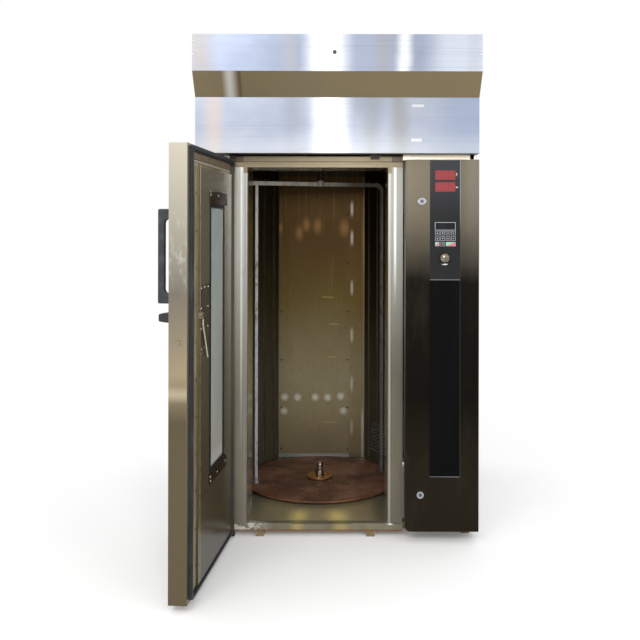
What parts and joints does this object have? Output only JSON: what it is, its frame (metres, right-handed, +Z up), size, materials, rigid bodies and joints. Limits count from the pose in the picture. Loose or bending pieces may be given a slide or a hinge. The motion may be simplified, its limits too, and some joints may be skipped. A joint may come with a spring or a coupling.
{
  "type": "rotating rack oven",
  "caption": "Tall insulated rack oven with a side-hinged door, a revolving rack carrier on a turntable, a canopy with exhaust and a control cabinet beside the doorway.",
  "frame": {"origin": "on the floor, under the middle of the cabinet's base, at the centre support foot's underside", "axes": "+Z up, the front with the door faces -Y, +X to the right seen from the front"},
  "size_m": [1.3977, 2.0576, 2.445],
  "materials": {
    "steel": "brushed, fingerprinted",
    "dull": "heat-stained steel",
    "cover": "dark grained steel",
    "black": "satin black",
    "char": "charcoal film",
    "rubber": "matt black",
    "glass": "greasy, pale green",
    "rust": "burnt-on rust brown",
    "hub": "orange-brown scale",
    "chrome": "polished",
    "red": "dark red window",
    "lcd": "pale grey window",
    "key": "membrane",
    "motor": "blue-grey paint",
    "galv": "plain sheet"
  },
  "bodies": {
    "oven_body": {"base_frame": "galv", "door_sill": "dull", "floor_pan": "dull", "chamber_liner": "dull", "supply_louver_panel": "dull", "return_grille_panel": "dull", "back_wall_panel": "dull", "back_wall_strip": "dull", "throat_liner": "steel", "door_frame": "steel", "door_switch": "dull", "left_column": "steel", "left_side_panel": "galv", "right_side_panel": "galv", "rear_panel": "galv", "roof_panel": "galv", "hood_lower_band": "steel", "canopy_hood": "steel", "control_cabinet": "cover", "carrier_gearmotor": "motor", "fan_motor": "motor", "hinge_lower": "black", "hinge_upper": "black"},
    "door": {"door_pan": "steel", "door_liner": "cover", "inner_glass": "glass", "outer_glass": "glass", "window_bead": "black", "door_gasket": "rubber", "door_handle": "black"},
    "latch": {"latch_lever": "black", "latch_release": "chrome"},
    "bolt": {"latch_bolt": "chrome"},
    "cover": {"control_cover": "cover", "panel_strip_upper": "char", "panel_strip_lower": "black", "display_upper": "red", "display_lower": "red", "text_display": "lcd"},
    "switch_knob": {"mode_switch": "dull"},
    "upper_lock": {"cam_lock_upper": "dull"},
    "lower_lock": {"cam_lock_lower": "dull"},
    "carrier": {"turntable": "rust", "hub_flange": "hub", "centre_pin": "chrome", "gate_frame": "galv", "drive_shaft": "dull"},
    "fan": {"circulation_fan": "galv"},
    "damper": {"exhaust_damper": "galv"},
    "key_r1_1_cap": {"key_r1_1": "key"},
    "key_r1_2_cap": {"key_r1_2": "key"},
    "key_r1_3_cap": {"key_r1_3": "key"},
    "key_r1_4_cap": {"key_r1_4": "key"},
    "key_r2_1_cap": {"key_r2_1": "key"},
    "key_r2_2_cap": {"key_r2_2": "key"},
    "key_r2_3_cap": {"key_r2_3": "key"},
    "key_r2_4_cap": {"key_r2_4": "key"},
    "key_r3_1_cap": {"key_r3_1": "key"},
    "key_r3_2_cap": {"key_r3_2": "key"},
    "key_r3_3_cap": {"key_r3_3": "key"}
  },
  "joints": [
    {"name": "door_swing", "type": "hinge", "parent": "oven_body", "child": "door", "pos_m": [-0.504, -0.637, 0.93], "axis": [0, 0, 1], "range_deg": [-8, 95.5], "deforming": ["door_gasket"]},
    {"name": "latch_turn", "type": "hinge", "parent": "door", "child": "latch", "pos_m": [-0.56649, -1.286, 1.143], "axis": [0.9954, -0.0958, 0], "range_deg": [0, 60]},
    {"name": "bolt_slide", "type": "slide", "parent": "door", "child": "bolt", "axis": [-0.0958, -0.9954, 0], "range_m": [0, 0.0452]},
    {"name": "cover_swing", "type": "hinge", "parent": "oven_body", "child": "cover", "pos_m": [0.674, -0.713, 0.942], "axis": [0, 0, 1], "range_deg": [0, 100]},
    {"name": "mode_turn", "type": "hinge", "parent": "cover", "child": "switch_knob", "pos_m": [0.51, -0.72, 1.359], "axis": [0, 1, 0], "range_deg": [0, 90]},
    {"name": "upper_lock_turn", "type": "hinge", "parent": "cover", "child": "upper_lock", "pos_m": [0.403, -0.713, 1.6275], "axis": [0, -1, 0], "range_deg": [0, 90]},
    {"name": "lower_lock_turn", "type": "hinge", "parent": "cover", "child": "lower_lock", "pos_m": [0.397, -0.713, 0.2335], "axis": [0, -1, 0], "range_deg": [0, 90]},
    {"name": "carrier_spin", "type": "hinge", "parent": "oven_body", "child": "carrier", "pos_m": [-0.094, 0.063, 0.5], "axis": [0, 0, 1], "continuous": true},
    {"name": "fan_spin", "type": "hinge", "parent": "oven_body", "child": "fan", "pos_m": [0.42, 0.3, 1.45], "axis": [1, 0, 0], "continuous": true},
    {"name": "damper_turn", "type": "hinge", "parent": "oven_body", "child": "damper", "pos_m": [-0.3, 0.3, 2.425], "axis": [1, 0, 0], "range_deg": [0, 90]},
    {"name": "key_r1_1_press", "type": "slide", "parent": "cover", "child": "key_r1_1_cap", "axis": [0, 1, 0], "range_m": [0, 0.0006], "stiffness_N_per_m": 1500},
    {"name": "key_r1_2_press", "type": "slide", "parent": "cover", "child": "key_r1_2_cap", "axis": [0, 1, 0], "range_m": [0, 0.0006], "stiffness_N_per_m": 1500},
    {"name": "key_r1_3_press", "type": "slide", "parent": "cover", "child": "key_r1_3_cap", "axis": [0, 1, 0], "range_m": [0, 0.0006], "stiffness_N_per_m": 1500},
    {"name": "key_r1_4_press", "type": "slide", "parent": "cover", "child": "key_r1_4_cap", "axis": [0, 1, 0], "range_m": [0, 0.0006], "stiffness_N_per_m": 1500},
    {"name": "key_r2_1_press", "type": "slide", "parent": "cover", "child": "key_r2_1_cap", "axis": [0, 1, 0], "range_m": [0, 0.0006], "stiffness_N_per_m": 1500},
    {"name": "key_r2_2_press", "type": "slide", "parent": "cover", "child": "key_r2_2_cap", "axis": [0, 1, 0], "range_m": [0, 0.0006], "stiffness_N_per_m": 1500},
    {"name": "key_r2_3_press", "type": "slide", "parent": "cover", "child": "key_r2_3_cap", "axis": [0, 1, 0], "range_m": [0, 0.0006], "stiffness_N_per_m": 1500},
    {"name": "key_r2_4_press", "type": "slide", "parent": "cover", "child": "key_r2_4_cap", "axis": [0, 1, 0], "range_m": [0, 0.0006], "stiffness_N_per_m": 1500},
    {"name": "key_r3_1_press", "type": "slide", "parent": "cover", "child": "key_r3_1_cap", "axis": [0, 1, 0], "range_m": [0, 0.0006], "stiffness_N_per_m": 1500},
    {"name": "key_r3_2_press", "type": "slide", "parent": "cover", "child": "key_r3_2_cap", "axis": [0, 1, 0], "range_m": [0, 0.0006], "stiffness_N_per_m": 1500},
    {"name": "key_r3_3_press", "type": "slide", "parent": "cover", "child": "key_r3_3_cap", "axis": [0, 1, 0], "range_m": [0, 0.0006], "stiffness_N_per_m": 1500}
  ],
  "couplings": [
    {"joint": "bolt_slide", "follows": "latch_turn", "m_per_rad": 0.042972}
  ]
}
